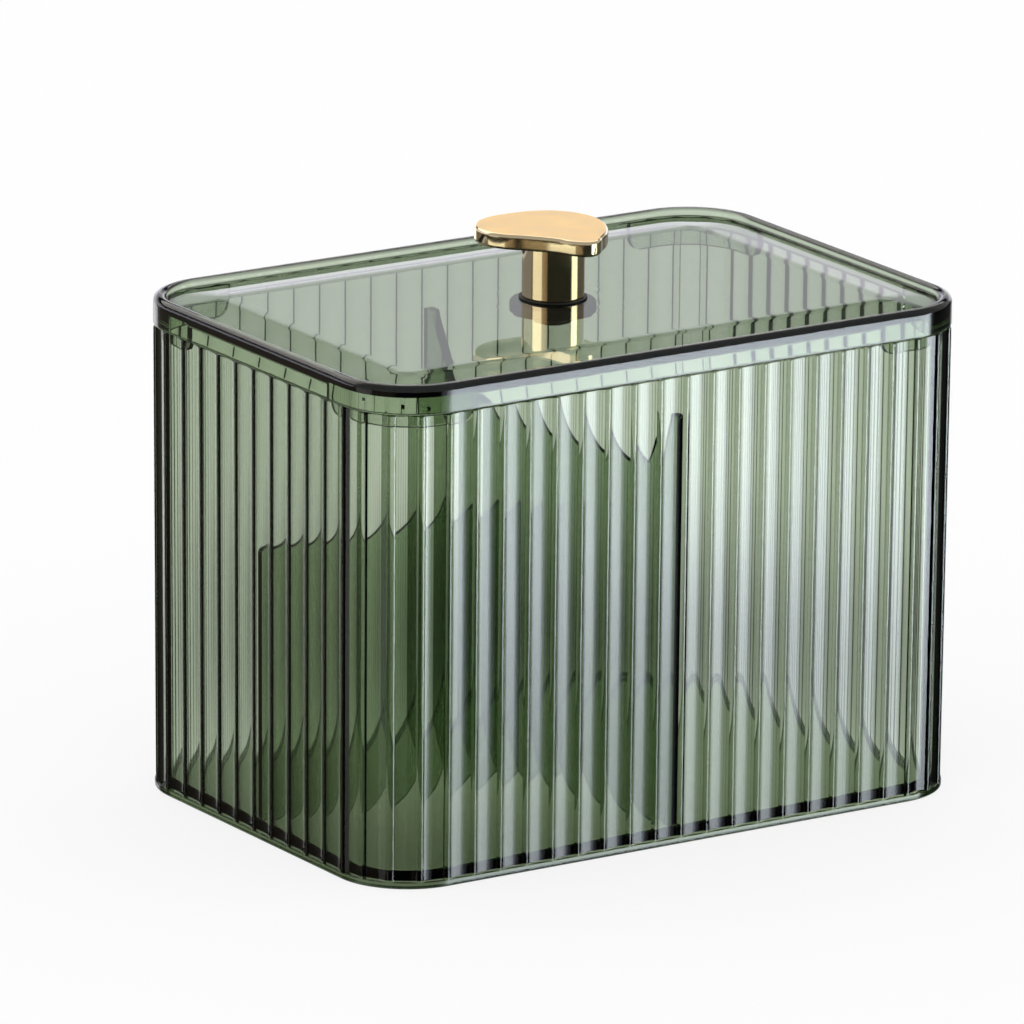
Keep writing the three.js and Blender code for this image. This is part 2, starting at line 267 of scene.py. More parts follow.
def platedMetal(name, color, roughness, grain, grainSize):
    # Zinc alloy, die cast and plated in pale gold: polished on the sides and stem, so they mirror the
    # room in bands, and fine-brushed to a satin on the cap's top, so that face glows evenly. The screw
    # is zinc-plated steel, a duller grey.
    material, tree, output = newMaterial(name)
    place = addNode(tree, "ShaderNodeTexCoord").outputs["Object"]
    specks = addNode(tree, "ShaderNodeTexNoise", {"Vector": place, "Scale": 1 / (grainSize * mm), "Detail": 4})
    look = metalLook
    wear = addNode(tree, "ShaderNodeTexNoise", {"Vector": place, "Scale": 1 / (look["wearSize"] * mm), "Detail": 3})
    polish = spread(tree, wear.outputs["Fac"], look["wearSpread"], [roughness * share for share in look["wearPolish"]])
    tone = spread(tree, wear.outputs["Fac"], look["wearSpread"], look["wearTone"])
    shade = addNode(tree, "ShaderNodeHueSaturation", {"Color": srgb(color), "Value": tone})
    bump = addNode(tree, "ShaderNodeBump", {"Height": specks.outputs["Fac"], "Strength": 1, "Distance": grain * mm})
    shader = addNode(tree, "ShaderNodeBsdfPrincipled", {
        "Base Color": shade.outputs["Color"], "Metallic": 1, "Roughness": polish,
        "Normal": bump.outputs["Normal"]})
    tree.links.new(shader.outputs["BSDF"], output.inputs["Surface"])
    return material


mattLook = {"tone": (0.85, 1.1), "grainStrength": 0.6}


def mouldedMatt(name, color, low, high, grainSize, grain):
    # A dull moulded surface, rubber or plastic: an even dark tone broken by a fine spark-eroded grain
    material, tree, output = newMaterial(name)
    place = addNode(tree, "ShaderNodeTexCoord").outputs["Object"]
    specks = addNode(tree, "ShaderNodeTexNoise", {"Vector": place, "Scale": 1 / (grainSize * mm), "Detail": 3})
    polish = spread(tree, specks.outputs["Fac"], (0, 1), (low, high))
    shade = spread(tree, specks.outputs["Fac"], (0, 1), mattLook["tone"])
    tone = addNode(tree, "ShaderNodeHueSaturation", {"Color": srgb(color), "Value": shade})
    bump = addNode(tree, "ShaderNodeBump", {
        "Height": specks.outputs["Fac"], "Strength": mattLook["grainStrength"], "Distance": grain * mm})
    shader = addNode(tree, "ShaderNodeBsdfPrincipled", {
        "Base Color": tone.outputs["Color"], "Roughness": polish, "Normal": bump.outputs["Normal"]})
    tree.links.new(shader.outputs["BSDF"], output.inputs["Surface"])
    return material


shellPlastic = smokeAcrylic("smokeAcrylicWalls", 350, 11, 0.004)
dividerPlastic = smokeAcrylic("smokeAcrylicPlates", 700, 11, 0.004)
lidPlastic = smokeAcrylic("smokeAcrylicLid", 350, 13, 0.025, rings=True)
satinGold = platedMetal("satinGoldPlate", "#FBD68F", 0.33, 0.004, 0.25)
polishedGold = platedMetal("polishedGoldPlate", "#E6D3AE", 0.07, 0.0008, 0.6)
blackRubber = mouldedMatt("blackNitrileRubber", "#161616", 0.5, 0.7, 0.3, 0.01)
darkPlastic = mouldedMatt("darkAbsPlastic", "#3C3E49", 0.3, 0.45, 0.4, 0.008)
zincSteel = platedMetal("zincPlatedSteel", "#C3C5C9", 0.28, 0.003, 0.3)
print("materials made")


def dress(obj, *materials):
    obj.data.materials.clear()
    for material in materials:
        obj.data.materials.append(material)


# Box shell

shellSizes = {
    "length": 145.4, "depth": 100, "height": 99.7, "cornerRadius": 16, "wall": 2.3, "lean": 0.5,
    "longFlutes": 18, "shortFlutes": 10, "cornerFlutes": 4,
    "fluteArc": 28,  # degrees of arc that each hollow takes
    "fluteSteps": 12,
    "ridgeRadius": 1.0, "ridgeTurn": 55,  # each ridge between two flutes is a round bead, this steep at its foot
    "ridgeSteps": 6,
    "plinthTop": 1.4, "plinthProud": 0.04, "baseRound": 0.6, "footWidth": 3.6, "footHeight": 1.1, "footRound": 0.3,
    "floorTop": 3.1, "floorFillet": 0.9, "topEdge": 0.3, "mouthFlare": 0.2, "cornerSteps": 24, "filletSteps": 4,
}


def fluteStrip(name, first, second, low, high):
    # One hollow flute between two ridges, each given by its top in mm and the way it faces. An upright
    # edge on the first ridge is spun down its round, along the hollow and up on the second ridge.
    # Spin turns clockwise, seen from above, for a positive angle.
    s = shellSizes
    (topA, facingA), (topB, facingB) = first, second
    chord = (topB - topA).normalized()
    outward = Vector((chord.y, -chord.x, 0))
    steep, arc = turnTo(s["ridgeTurn"]), turnTo(s["fluteArc"])
    axisA, axisB = topA - facingA * s["ridgeRadius"], topB - facingB * s["ridgeRadius"]
    footA = axisA + s["ridgeRadius"] * (math.cos(steep) * outward + math.sin(steep) * chord)
    footB = axisB + s["ridgeRadius"] * (math.cos(steep) * outward - math.sin(steep) * chord)
    hollow = (footA + footB) / 2 + outward * ((footB - footA).length / 2 / math.tan(arc / 2))
    ridgeTurn = steep + outward.angle(facingA)
    bpy.ops.mesh.primitive_plane_add(
        size=1, location=(topA.x * mm, topA.y * mm, (low + high) / 2 * mm), rotation=(math.pi / 2, 0, 0))
    fixPlace()
    strip = nameActive(name)
    openMesh()
    pick("VERT", lambda at, v: at.x > topA.x)
    bpy.ops.mesh.delete(type="VERT")
    bpy.ops.mesh.select_all(action="SELECT")
    slide(x=1 / mm / 2)
    stretch(z=(high - low) * mm, about=(0, 0, (low + high) / 2))
    for axis, turn, steps in ((axisA, -ridgeTurn, s["ridgeSteps"]), (hollow, arc, s["fluteSteps"]),
                              (axisB, -ridgeTurn, s["ridgeSteps"])):
        bpy.ops.mesh.spin(steps=steps, angle=turn, center=(axis.x * mm, axis.y * mm, 0), axis=(0, 0, 1))
    closeMesh()
    return strip


def buildShell():
    s = shellSizes
    runX = s["length"] / 2 - s["cornerRadius"]
    runY = s["depth"] / 2 - s["cornerRadius"]
    low, high = s["plinthTop"], s["height"] - s["topEdge"]
    longPitch = 2 * runX / s["longFlutes"]
    shortPitch = 2 * runY / s["shortFlutes"]
    turn = math.pi / 2 / s["cornerFlutes"]
    front, side = Vector((0, 1, 0)), Vector((1, 0, 0))
    reachX, reachY = s["length"] / 2, s["depth"] / 2
    longStrip = fluteStrip("longFlutes", (Vector((longPitch, reachY, 0)), front), (Vector((0, reachY, 0)), front),
                           low, high)
    applyModifier(longStrip, "ARRAY", count=s["longFlutes"] // 2, use_relative_offset=False, use_constant_offset=True,
                  constant_offset_displace=(longPitch * mm, 0, 0))
    shortStrip = fluteStrip("shortFlutes", (Vector((reachX, 0, 0)), side), (Vector((reachX, shortPitch, 0)), side),
                            low, high)
    applyModifier(shortStrip, "ARRAY", count=s["shortFlutes"] // 2, use_relative_offset=False,
                  use_constant_offset=True, constant_offset_displace=(0, shortPitch * mm, 0))
    centre = Vector((runX, runY, 0))
    turned = Vector((math.cos(turn), math.sin(turn), 0))
    cornerStrip = fluteStrip("cornerFlutes", (centre + side * s["cornerRadius"], side),
                             (centre + turned * s["cornerRadius"], turned), low, high)
    openMesh()
    bpy.ops.mesh.select_all(action="SELECT")
    copies = s["cornerFlutes"] - 1
    bpy.ops.mesh.spin(steps=copies, dupli=True, angle=-turn * copies, center=(runX * mm, runY * mm, 0), axis=(0, 0, 1))
    closeMesh()
    outer = joinPieces("outerWall", [longStrip, shortStrip, cornerStrip])
    openMesh()
    weld()
    closeMesh()
    applyModifier(outer, "MIRROR", use_axis=(True, True, False), merge_threshold=weldReach)
    openMesh()
    weld()
    grown = s["lean"] * high / s["height"]
    pick("VERT", lambda at, v: at.z > low + 1)
    stretch((s["length"] + 2 * grown) / s["length"], (s["depth"] + 2 * grown) / s["depth"])
    pick("EDGE", lambda at, e: flatAt(e, high))
    pull(z=s["topEdge"])
    topX, topY = s["length"] + 2 * grown, s["depth"] + 2 * grown
    stretch((topX - 2 * s["topEdge"]) / topX, (topY - 2 * s["topEdge"]) / topY, 1)
    closeMesh()

    # The plain plinth, with the foot rim that it stands on
    proud = s["plinthProud"]
    baseX, baseY = s["length"] / 2 + proud, s["depth"] / 2 + proud
    plinth = startBlock("plinth", (-baseX, -baseY, 0), (baseX, baseY, s["plinthTop"]))
    openMesh()
    pick("EDGE", lambda at, e: upright(e))
    roundEdges(s["cornerRadius"] + proud, s["cornerSteps"])
    pick("FACE", lambda at, f: near(at.z, 0) and abs(f.normal.z) > 0.9)
    bpy.ops.mesh.inset(thickness=s["footWidth"] * mm, depth=0)
    pull(z=s["footHeight"])
    pick("EDGE", lambda at, e: flatAt(e, 0) and max(abs(at.x) - baseX, abs(at.y) - baseY) > -0.01
         or flatAt(e, 0) and outsideRound(at, baseX, baseY, s["cornerRadius"] + proud))
    roundEdges(s["baseRound"], s["filletSteps"])
    pick("EDGE", lambda at, e: flatAt(e, 0) and sharp(e))
    roundEdges(s["footRound"], 3)
    pick("FACE", lambda at, f: near(at.z, s["plinthTop"]) and f.normal.z > 0.9)
    bpy.ops.mesh.delete(type="ONLY_FACE")
    closeMesh()

    # The smooth inside
    innerX = s["length"] / 2 + s["lean"] * s["floorTop"] / s["height"] - s["wall"]
    innerY = innerX - (s["length"] - s["depth"]) / 2
    mouthX = s["length"] / 2 + s["lean"] - s["wall"]
    mouthY = mouthX - (s["length"] - s["depth"]) / 2
    inner = startBlock("innerWall", (-innerX, -innerY, s["floorTop"]), (innerX, innerY, high))
    openMesh()
    pick("EDGE", lambda at, e: upright(e))
    roundEdges(s["cornerRadius"] - s["wall"], s["cornerSteps"])
    pick("VERT", lambda at, v: at.z > low + 5)
    stretch(mouthX / innerX, mouthY / innerY)
    pick("EDGE", lambda at, e: flatAt(e, s["floorTop"]))
    roundEdges(s["floorFillet"], s["filletSteps"])
    pick("FACE", lambda at, f: near(at.z, high) and f.normal.z > 0.9)
    bpy.ops.mesh.delete(type="ONLY_FACE")
    pick("EDGE", lambda at, e: flatAt(e, high))
    pull(z=s["topEdge"])
    stretch((mouthX + s["mouthFlare"]) / mouthX, (mouthY + s["mouthFlare"]) / mouthY)
    closeMesh()

    shell = joinPieces("fluted_shell", [outer, plinth, inner])
    openMesh()
    for level in (s["height"], s["plinthTop"]):
        pick("EDGE", lambda at, e: flatAt(e, level) and len(e.link_faces) == 1)
        bpy.ops.mesh.fill()
    weld()
    bpy.ops.mesh.dissolve_degenerate(threshold=weldReach)
    closeMesh()
    smoothPiece(shell, 35)
    dress(shell, shellPlastic)
    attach(shell, "box")
    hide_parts("box_shell")


def outsideRound(at, reachX, reachY, radius):
    # On the outer line of a box with round corners
    dx = abs(at.x) - (reachX - radius)
    dy = abs(at.y) - (reachY - radius)
    return dx > 0 and dy > 0 and math.hypot(dx, dy) > radius - 0.1


buildShell()
print("shell made")


# Dividers

dividerSizes = {
    "thickness": 2.1, "gap": 0.3, "standOff": 0.05,  # a hair of air under each plate
    "edgeRound": 0.14, "footRound": 0.9, "bevelMeet": 0.03, "seamDrop": 0.24,
    "crossEdge": 78.3, "hornTop": 90.8, "hornTip": 2.9, "hornFoot": 9, "hornTipRound": 1.2, "hornSteps": 12,
    "tipLean": 0.2, "tipDrop": 1.6,  # how the horn's inner line ends at its tip
    "halfTop": 61.5, "halfCorner": 1,
}


def wallInside(half, z):  # from the middle to the wall's inner face at a height
    s = shellSizes
    return half + s["lean"] * z / s["height"] - s["wall"]


def quadratic(a, b, c, t):
    return (1 - t) ** 2 * a + 2 * t * (1 - t) * b + t ** 2 * c


def buildCrossDivider():
    d = dividerSizes
    s = shellSizes
    halfY = s["depth"] / 2
    half = d["thickness"] / 2
    foot = s["floorTop"] + d["standOff"]
    reach = wallInside(halfY, foot) - d["gap"]
    edge, top = d["crossEdge"], d["hornTop"]
    plate = startBlock("horned_plate", (-half, -reach, foot), (half, reach, edge))
    openMesh()
    reachAtEdge = wallInside(halfY, edge) - d["gap"]
    pick("VERT", lambda at, v: near(at.z, edge))
    stretch(y=reachAtEdge / reach)
    wall = wallInside(halfY, top) - d["gap"]
    hornStart = wall - d["hornFoot"] - d["hornTip"]
    for side in (-1, 1):
        bpy.ops.mesh.select_all(action="SELECT")
        bpy.ops.mesh.bisect(plane_co=(0, side * hornStart * mm, 0), plane_no=(0, 1, 0))
    # The horns' inner line: first down from the tip, then sweeping out into the straight edge
    line = []
    for i in range(1, d["hornSteps"] + 1):
        t = i / d["hornSteps"]
        y = quadratic(hornStart, wall - d["hornFoot"], wall - (d["hornTip"] + d["hornFoot"]) / 2, t)
        line.append((y, quadratic(edge, edge, (edge + top) / 2, t)))
    for i in range(1, d["hornSteps"] + 1):
        t = i / d["hornSteps"]
        y = quadratic(wall - (d["hornTip"] + d["hornFoot"]) / 2, wall - d["hornTip"],
                      wall - d["hornTip"] + d["tipLean"], t)
        line.append((y, quadratic((edge + top) / 2, top - d["tipDrop"], top, t)))
    before = (hornStart, edge, reachAtEdge)
    pick("FACE", lambda at, f: near(at.z, edge) and abs(at.y) > hornStart and f.normal.z > 0.9)
    for y, z in line:
        outerReach = wallInside(halfY, z) - d["gap"]
        pick("FACE", lambda at, f: near(at.z, before[1], 0.002) and abs(at.y) > before[0] and f.normal.z > 0.9)
        pull(z=z - before[1])
        pick("VERT", lambda at, v: near(at.z, z, 0.002) and abs(at.y) < (before[0] + before[2]) / 2
             and abs(at.y) > hornStart - 1)
        stretch(y=y / before[0])
        pick("VERT", lambda at, v: near(at.z, z, 0.002) and abs(at.y) > (y + before[2]) / 2)
        stretch(y=outerReach / before[2])
        before = (y, z, outerReach)
    pick("EDGE", lambda at, e: flatAt(e, top) and near(e.verts[0].co.y, e.verts[1].co.y, 1e-6))
    roundEdges(d["hornTipRound"], 6)
    pick("EDGE", lambda at, e: flatAt(e, foot) and near(abs(at.y), reach, 0.05)
         and near(e.verts[0].co.y, e.verts[1].co.y, 1e-6))
    roundEdges(d["footRound"], 4)
    pick("EDGE", lambda at, e: sharp(e))
    roundEdges(d["edgeRound"], 2)
    # Two bevels end close together on each horn's tip, and their slivers are closed
    seam = top - d["hornTipRound"] * d["seamDrop"]
    pick("VERT", lambda at, v: abs(at.y) > wall - 0.2 and near(at.z, seam, 0.1))
    bpy.ops.mesh.remove_doubles(threshold=d["bevelMeet"] * mm)
    weld()
    closeMesh()
    smoothPiece(plate, 35)
    dress(plate, dividerPlastic)
    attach(plate, "box")
    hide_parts("cross_divider")


def buildHalfDivider():
    d = dividerSizes
    s = shellSizes
    halfX = s["length"] / 2
    half = d["thickness"] / 2
    foot = s["floorTop"] + d["standOff"]
    reach = wallInside(halfX, foot) - d["gap"]
    right = -half - d["gap"]
    top = d["halfTop"]
    plate = startBlock("half_plate", (-reach, -half, foot), (right, half, top))
    openMesh()
    pick("VERT", lambda at, v: near(at.z, top) and at.x < -reach + 1)
    slide(x=-(wallInside(halfX, top) - d["gap"] - reach))
    pick("EDGE", lambda at, e: flatAt(e, top) and at.x < -reach + 1 and near(e.verts[0].co.x, e.verts[1].co.x, 1e-6))
    roundEdges(d["halfCorner"], 5)
    pick("EDGE", lambda at, e: flatAt(e, foot) and at.x < -reach + 1 and near(e.verts[0].co.x, e.verts[1].co.x, 1e-6))
    roundEdges(d["footRound"], 4)
    pick("EDGE", lambda at, e: sharp(e))
    roundEdges(d["edgeRound"], 2)
    weld()
    closeMesh()
    smoothPiece(plate, 35)
    dress(plate, dividerPlastic)
    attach(plate, "box")
    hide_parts("half_divider")


buildCrossDivider()
buildHalfDivider()
print("dividers made")


# Lid

lidSizes = {
    "joint": 99.7, "airGap": 0.05, "skirt": 2.95, "panelUnder": 103.2, "panelTop": 105, "top": 105.8,
    "rimWidth": 2.7, "rimRound": 1.5, "rimInnerRound": 1.05, "skirtEdge": 0.3,
    # The panel's border slopes down to the rim, above and below, past a soft fold
    "borderWidth": 10.4, "foldWidth": 2.8, "foldSteps": 6, "borderDrop": 0.75, "underDrop": 0.55, "grooveFillet": 0.4,
    "underFillet": 0.4, "skirtInnerEdge": 0.2, "cornerSteps": 32, "rimSteps": 7, "holeRadius": 2.3, "holeEdge": 0.15,
    "tabOuter": 13.835, "tabThickness": 1.6, "tabLow": 96.7, "tabStraight": 7, "tabEndRound": 3, "tabEdge": 0.15,
    "tabSink": 0.5,  # the tabs run this far up into the panel
    "tabSteps": 20, "holeSides": 64,
}


def buildTabs():
    # One locating tab round a corner, spun from its section and drawn out along both sides
    t = lidSizes
    s = shellSizes
    runX = s["length"] / 2 - s["cornerRadius"]
    runY = s["depth"] / 2 - s["cornerRadius"]
    outer, inner = runX + t["tabOuter"], runX + t["tabOuter"] - t["tabThickness"]
    low, high = t["tabLow"], t["panelUnder"] + t["tabSink"]
    bpy.ops.mesh.primitive_plane_add(size=1, location=(0, 0, 0), rotation=(math.pi / 2, 0, 0))
    fixPlace()
    tab = nameActive("cornerTabs")
    openMesh()
    bpy.ops.mesh.select_all(action="SELECT")
    bpy.ops.transform.resize(value=((outer - inner) * mm, 1, (high - low) * mm))
    slide((outer + inner) / 2, runY, (low + high) / 2)
    bpy.ops.mesh.spin(steps=t["tabSteps"], angle=-math.pi / 2, center=(runX * mm, runY * mm, 0), axis=(0, 0, 1))
    weld()
    pick("FACE", lambda at, f: near(at.y, runY) and abs(f.normal.y) > 0.99)
    pull(y=-t["tabStraight"])
    pick("FACE", lambda at, f: near(at.x, runX) and abs(f.normal.x) > 0.99)
    pull(x=-t["tabStraight"])
    endX, endY = runX - t["tabStraight"], runY - t["tabStraight"]
    pick("EDGE", lambda at, e: flatAt(e, low) and (near(at.y, endY) or near(at.x, endX)))
    roundEdges(t["tabEndRound"], 8)
    weld()
    pick("EDGE", lambda at, e: sharp(e) and at.z < high - 0.2)
    roundEdges(t["tabEdge"], 2)
    weld()
    closeMesh()
    applyModifier(tab, "MIRROR", use_axis=(True, True, False), use_mirror_merge=False)
    openMesh()
    weld()
    closeMesh()
    return tab


def slopeIn(rise):  # the chosen face's border, sloping up inwards, and the fold where it turns level
    t = lidSizes
    slope = rise / (t["borderWidth"] + t["foldWidth"] / 2)
    bpy.ops.mesh.inset(thickness=t["borderWidth"] * mm, depth=0)
    slide(z=slope * t["borderWidth"])
    steps = t["foldSteps"]
    step = t["foldWidth"] / steps
    for i in range(steps):
        bpy.ops.mesh.inset(thickness=step * mm, depth=0)
        slide(z=slope * step * (1 - (i + 0.5) / steps))


def buildLid():
    t = lidSizes
    s = shellSizes
    low = t["joint"] + t["airGap"]
    reachX, reachY = s["length"] / 2 + s["lean"], s["depth"] / 2 + s["lean"]
    radius = s["cornerRadius"] + s["lean"]
    lid = startBlock("recessed_lid", (-reachX, -reachY, low), (reachX, reachY, t["top"]))
    openMesh()
    pick("EDGE", lambda at, e: upright(e))
    roundEdges(radius, t["cornerSteps"])
    pick("FACE", lambda at, f: near(at.z, low) and f.normal.z < -0.9)
    bpy.ops.mesh.inset(thickness=t["skirt"] * mm, depth=0)
    pull(z=t["panelUnder"] - t["underDrop"] - low)
    slopeIn(t["underDrop"])
    pick("FACE", lambda at, f: near(at.z, t["top"]) and f.normal.z > 0.9)
    bpy.ops.mesh.inset(thickness=t["rimWidth"] * mm, depth=0)
    pull(z=t["panelTop"] - t["borderDrop"] - t["top"])
    slopeIn(t["borderDrop"])

    def ring(level, inside, size, steps):
        pick("EDGE", lambda at, e: flatAt(e, level) and onRound(at, reachX - inside, reachY - inside, radius - inside)
             and sharp(e))
        roundEdges(size, steps)

    ring(t["top"], 0, t["rimRound"], t["rimSteps"])
    ring(t["top"], t["rimWidth"], t["rimInnerRound"], t["rimSteps"] - 1)
    ring(t["panelTop"] - t["borderDrop"], t["rimWidth"], t["grooveFillet"], 4)
    ring(low, 0, t["skirtEdge"], 3)
    ring(low, t["skirt"], t["skirtInnerEdge"], 2)
    ring(t["panelUnder"] - t["underDrop"], t["skirt"], t["underFillet"], 4)
    weld()
    closeMesh()
    cutWith(lid, buildTabs(), "UNION")
    drill = startDrum("drill", t["holeRadius"], t["panelUnder"] - 1, t["panelTop"] + 1, t["holeSides"])
    cutWith(lid, drill)
    openMesh()
    weld()
    pick("EDGE", lambda at, e: math.hypot(at.x, at.y) < t["holeRadius"] + 0.1 and sharp(e))
    roundEdges(t["holeEdge"], 2)
    weld()
    closeMesh()
    smoothPiece(lid, 30)
    dress(lid, lidPlastic)
    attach(lid, "lid")
    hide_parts("lid")


def onRound(at, reachX, reachY, radius, within=0.12):
    # On the line of a box with round corners
    dx = abs(at.x) - (reachX - radius)
    dy = abs(at.y) - (reachY - radius)
    if dx > 0 and dy > 0:
        return abs(math.hypot(dx, dy) - radius) < within
    return abs(abs(at.x) - reachX) < within if dx > 0 else abs(abs(at.y) - reachY) < within


buildLid()
print("lid made")


# Knob

knobSizes = {
    "capReach": 16.4, "capLow": 116.7, "capHigh": 120, "capRound": 0.7,
    "stemLow": 105.4, "stemRadius": 6.5, "stemEdge": 0.35, "spigotRadius": 3.6, "spigotHeight": 1.5,
    "boreRadius": 2.3, "boreDepth": 8.6, "sides": 128, "fineSides": 64,
    "gasketRadius": 7.1, "gasketLow": 105.02, "gasketHigh": 105.4,
    "washerRadius": 9, "washerLow": 100.6, "washerHigh": 103.17, "washerEdge": 0.5,
    "headRadius": 4.2, "headLow": 98.4, "headHeight": 2.2, "headEdge": 0.8, "shankRadius": 2, "shankTop": 113.4,
    "crossLength": 4.6, "crossWidth": 0.9, "crossDepth": 1.2, "shankRound": 0.35,
    "socketGap": 0.3, "seatGap": 0.02,  # round the stem's spigot, and over the screw's head
}

# The cap seen from above, as shares of its reach: a soft triangle with one side drawn in
capOutline = [
    (0, -0.91), (0.24, -0.74), (0.53, -0.42), (0.69, -0.08), (0.73, 0.23), (0.6, 0.59), (0.33, 0.82), (-0.1, 0.9),
    (-0.49, 0.86), (-0.78, 0.64), (-0.87, 0.35), (-0.78, 0.06), (-0.51, -0.24), (-0.27, -0.56), (-0.13, -0.83),
]


def buildCap():
    k = knobSizes
    reach = k["capReach"] - k["capRound"]
    bpy.ops.curve.primitive_bezier_circle_add(radius=reach * mm, location=(0, 0, 0))
    curve = nameActive("pebble_cap")
    line = curve.data.splines[0]
    line.bezier_points.add(len(capOutline) - len(line.bezier_points))
    for point, (x, y) in zip(line.bezier_points, capOutline):
        point.co = (x * reach * mm, y * reach * mm, 0)
        point.handle_left_type = point.handle_right_type = "AUTO"
    curve.data.dimensions = "2D"
    curve.data.fill_mode = "BOTH"
    curve.data.resolution_u = 10
    curve.data.extrude = ((k["capHigh"] - k["capLow"]) / 2 - k["capRound"]) * mm
    curve.data.bevel_depth = k["capRound"] * mm
    curve.data.bevel_resolution = 5
    makeActive(curve)
    bpy.ops.object.convert(target="MESH")
    cap = nameActive("pebble_cap")
    openMesh()
    weld()
    bpy.ops.mesh.select_all(action="SELECT")
    slide(z=(k["capLow"] + k["capHigh"]) / 2)
    pick("FACE", lambda at, f: abs(f.normal.z) > 0.999)
    bpy.ops.mesh.dissolve_limited(angle_limit=turnTo(0.5), delimit={"NORMAL"})
    closeMesh()
    socket = startDrum("socket", k["spigotRadius"] + k["socketGap"], k["capLow"] - 1,
                       k["capLow"] + k["spigotHeight"] + k["socketGap"], k["fineSides"])
    cutWith(cap, socket)
    openMesh()
    weld()
    closeMesh()
    smoothPiece(cap, 30)
    dress(cap, polishedGold, satinGold)
    for face in cap.data.polygons:
        if face.normal.z > 0.97:
            face.material_index = 1
    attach(cap, "lid")
    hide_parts("knob_cap")


def buildStem():
    k = knobSizes
    stem = startDrum("gold_stem", k["stemRadius"], k["stemLow"], k["capLow"], k["sides"])
    openMesh()
    pick("EDGE", lambda at, e: flatAt(e, k["stemLow"]) or flatAt(e, k["capLow"]))
    roundEdges(k["stemEdge"], 4)
    pick("FACE", lambda at, f: near(at.z, k["capLow"]) and f.normal.z > 0.9)
    bpy.ops.mesh.inset(thickness=(k["stemRadius"] - k["stemEdge"] - k["spigotRadius"]) * mm, depth=0)
    pull(z=k["spigotHeight"])
    pick("FACE", lambda at, f: near(at.z, k["stemLow"]) and f.normal.z < -0.9)
    bpy.ops.mesh.inset(thickness=(k["stemRadius"] - k["stemEdge"] - k["boreRadius"]) * mm, depth=0)
    pull(z=k["boreDepth"])
    weld()
    closeMesh()
    smoothPiece(stem, 30)
    dress(stem, polishedGold)
    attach(stem, "lid")
    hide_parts("knob_stem")


def buildRing(name, radius, low, high, edge, steps, material, node):
    k = knobSizes
    ring = startDrum(name, radius, low, high, k["sides"])
    openMesh()
    pick("EDGE", lambda at, e: flatAt(e, low) or flatAt(e, high))
    roundEdges(edge, steps)
    pick("FACE", lambda at, f: abs(f.normal.z) > 0.99)
    bpy.ops.mesh.inset(thickness=(radius - edge - k["boreRadius"]) * mm, depth=0)
    bpy.ops.mesh.delete(type="FACE")
    pick("EDGE", lambda at, e: len(e.link_faces) == 1)
    bpy.ops.mesh.bridge_edge_loops()
    weld()
    closeMesh()
    smoothPiece(ring, 30)
    dress(ring, material)
    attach(ring, "lid")
    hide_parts(node)


def buildScrew():
    k = knobSizes
    headTop = k["headLow"] + k["headHeight"] - k["seatGap"]
    screw = startDrum("pan_screw", k["headRadius"], k["headLow"], headTop, k["fineSides"])
    openMesh()
    pick("FACE", lambda at, f: near(at.z, headTop) and f.normal.z > 0.9)
    bpy.ops.mesh.inset(thickness=(k["headRadius"] - k["shankRadius"]) * mm, depth=0)
    pull(z=k["shankTop"] - headTop)
    pick("EDGE", lambda at, e: flatAt(e, k["headLow"]))
    roundEdges(k["headEdge"], 6)
    pick("EDGE", lambda at, e: flatAt(e, k["shankTop"]))
    roundEdges(k["shankRound"], 2)
    weld()
    closeMesh()
    for size in ((k["crossLength"], k["crossWidth"]), (k["crossWidth"], k["crossLength"])):
        slot = startBlock("slot", (-size[0] / 2, -size[1] / 2, k["headLow"] - 1),
                          (size[0] / 2, size[1] / 2, k["headLow"] + k["crossDepth"]))
        cutWith(screw, slot)
    smoothPiece(screw, 30)
    dress(screw, zincSteel)
    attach(screw, "lid")
    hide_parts("knob_screw")


buildCap()
buildStem()
knob = knobSizes
buildRing("rubber_gasket", knob["gasketRadius"], knob["gasketLow"], knob["gasketHigh"], 0.1, 2,
          blackRubber, "knob_gasket")
buildRing("washer_disc", knob["washerRadius"], knob["washerLow"], knob["washerHigh"], knob["washerEdge"], 4,
          darkPlastic, "knob_washer")
buildScrew()
print("knob made")


# Camera at the photograph's angle

cameraPlace = {
    "azimuth": -32.992, "elevation": 15.541, "distance": 2.520, "lens": 426.8, "roll": 0.5,
    "asideMm": -8.08, "heightMm": 58.85,
}


def placeCamera():
    c = cameraPlace
    azimuth, elevation, roll = turnTo(c["azimuth"]), turnTo(c["elevation"]), turnTo(c["roll"])
    back = Vector((math.sin(azimuth) * math.cos(elevation), -math.cos(azimuth) * math.cos(elevation),
                   math.sin(elevation)))
    right = Vector((math.cos(azimuth), math.sin(azimuth), 0))
    up = back.cross(right)
    target = right * c["asideMm"] * mm + Vector((0, 0, c["heightMm"] * mm))
    sideways = math.cos(roll) * right + math.sin(roll) * up
    upwards = -math.sin(roll) * right + math.cos(roll) * up
    bpy.ops.object.camera_add(location=target + back * c["distance"])
    camera = bpy.context.active_object
    camera.name = "studioCamera"
    turned = Matrix((sideways, upwards, back)).transposed()
    camera.rotation_euler = turned.to_euler()
    camera.data.lens = c["lens"]
    camera.data.sensor_width = 36
    camera.data.clip_start = 0.01
    camera.data.clip_end = 50
    bpy.context.scene.camera = camera


placeCamera()
print("camera placed")


# Studio: a white room to look through, and a darker one with two soft windows to mirror

